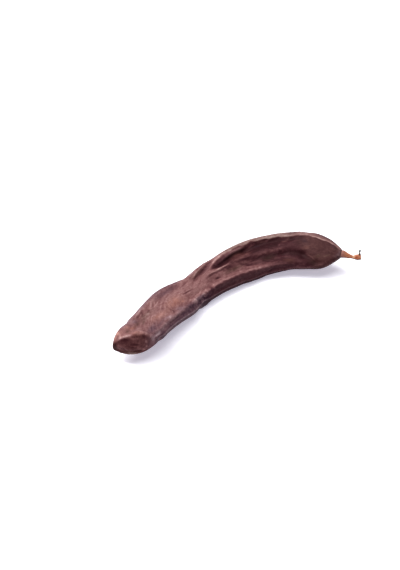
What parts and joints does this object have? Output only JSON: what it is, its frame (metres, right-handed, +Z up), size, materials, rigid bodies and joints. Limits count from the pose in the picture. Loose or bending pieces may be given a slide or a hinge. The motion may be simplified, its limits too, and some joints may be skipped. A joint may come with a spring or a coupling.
{
  "type": "carob pod",
  "caption": "Dried, curved carob pod with thick margins and sunken wrinkled faces, lying flat, with the short stalk it hung from.",
  "frame": {"origin": "middle of the outline's box, on the surface that the pod lies on", "axes": "+X along the pod from the blossom end to the stalk, +Y towards the outer side of its curve, +Z up"},
  "size_m": [0.1312, 0.0432, 0.0147],
  "materials": {
    "pod_skin": "dry leathery purple-brown skin, soft sheen, fine wrinkles and lighter margins",
    "stalk_wood": "matte orange-brown twig, finely ribbed along its length",
    "spur_wood": "matte dark grey-green dead twig"
  },
  "bodies": {
    "root": {"pod": "pod_skin", "stalk": "stalk_wood", "stalk_spur": "spur_wood"}
  },
  "joints": []
}
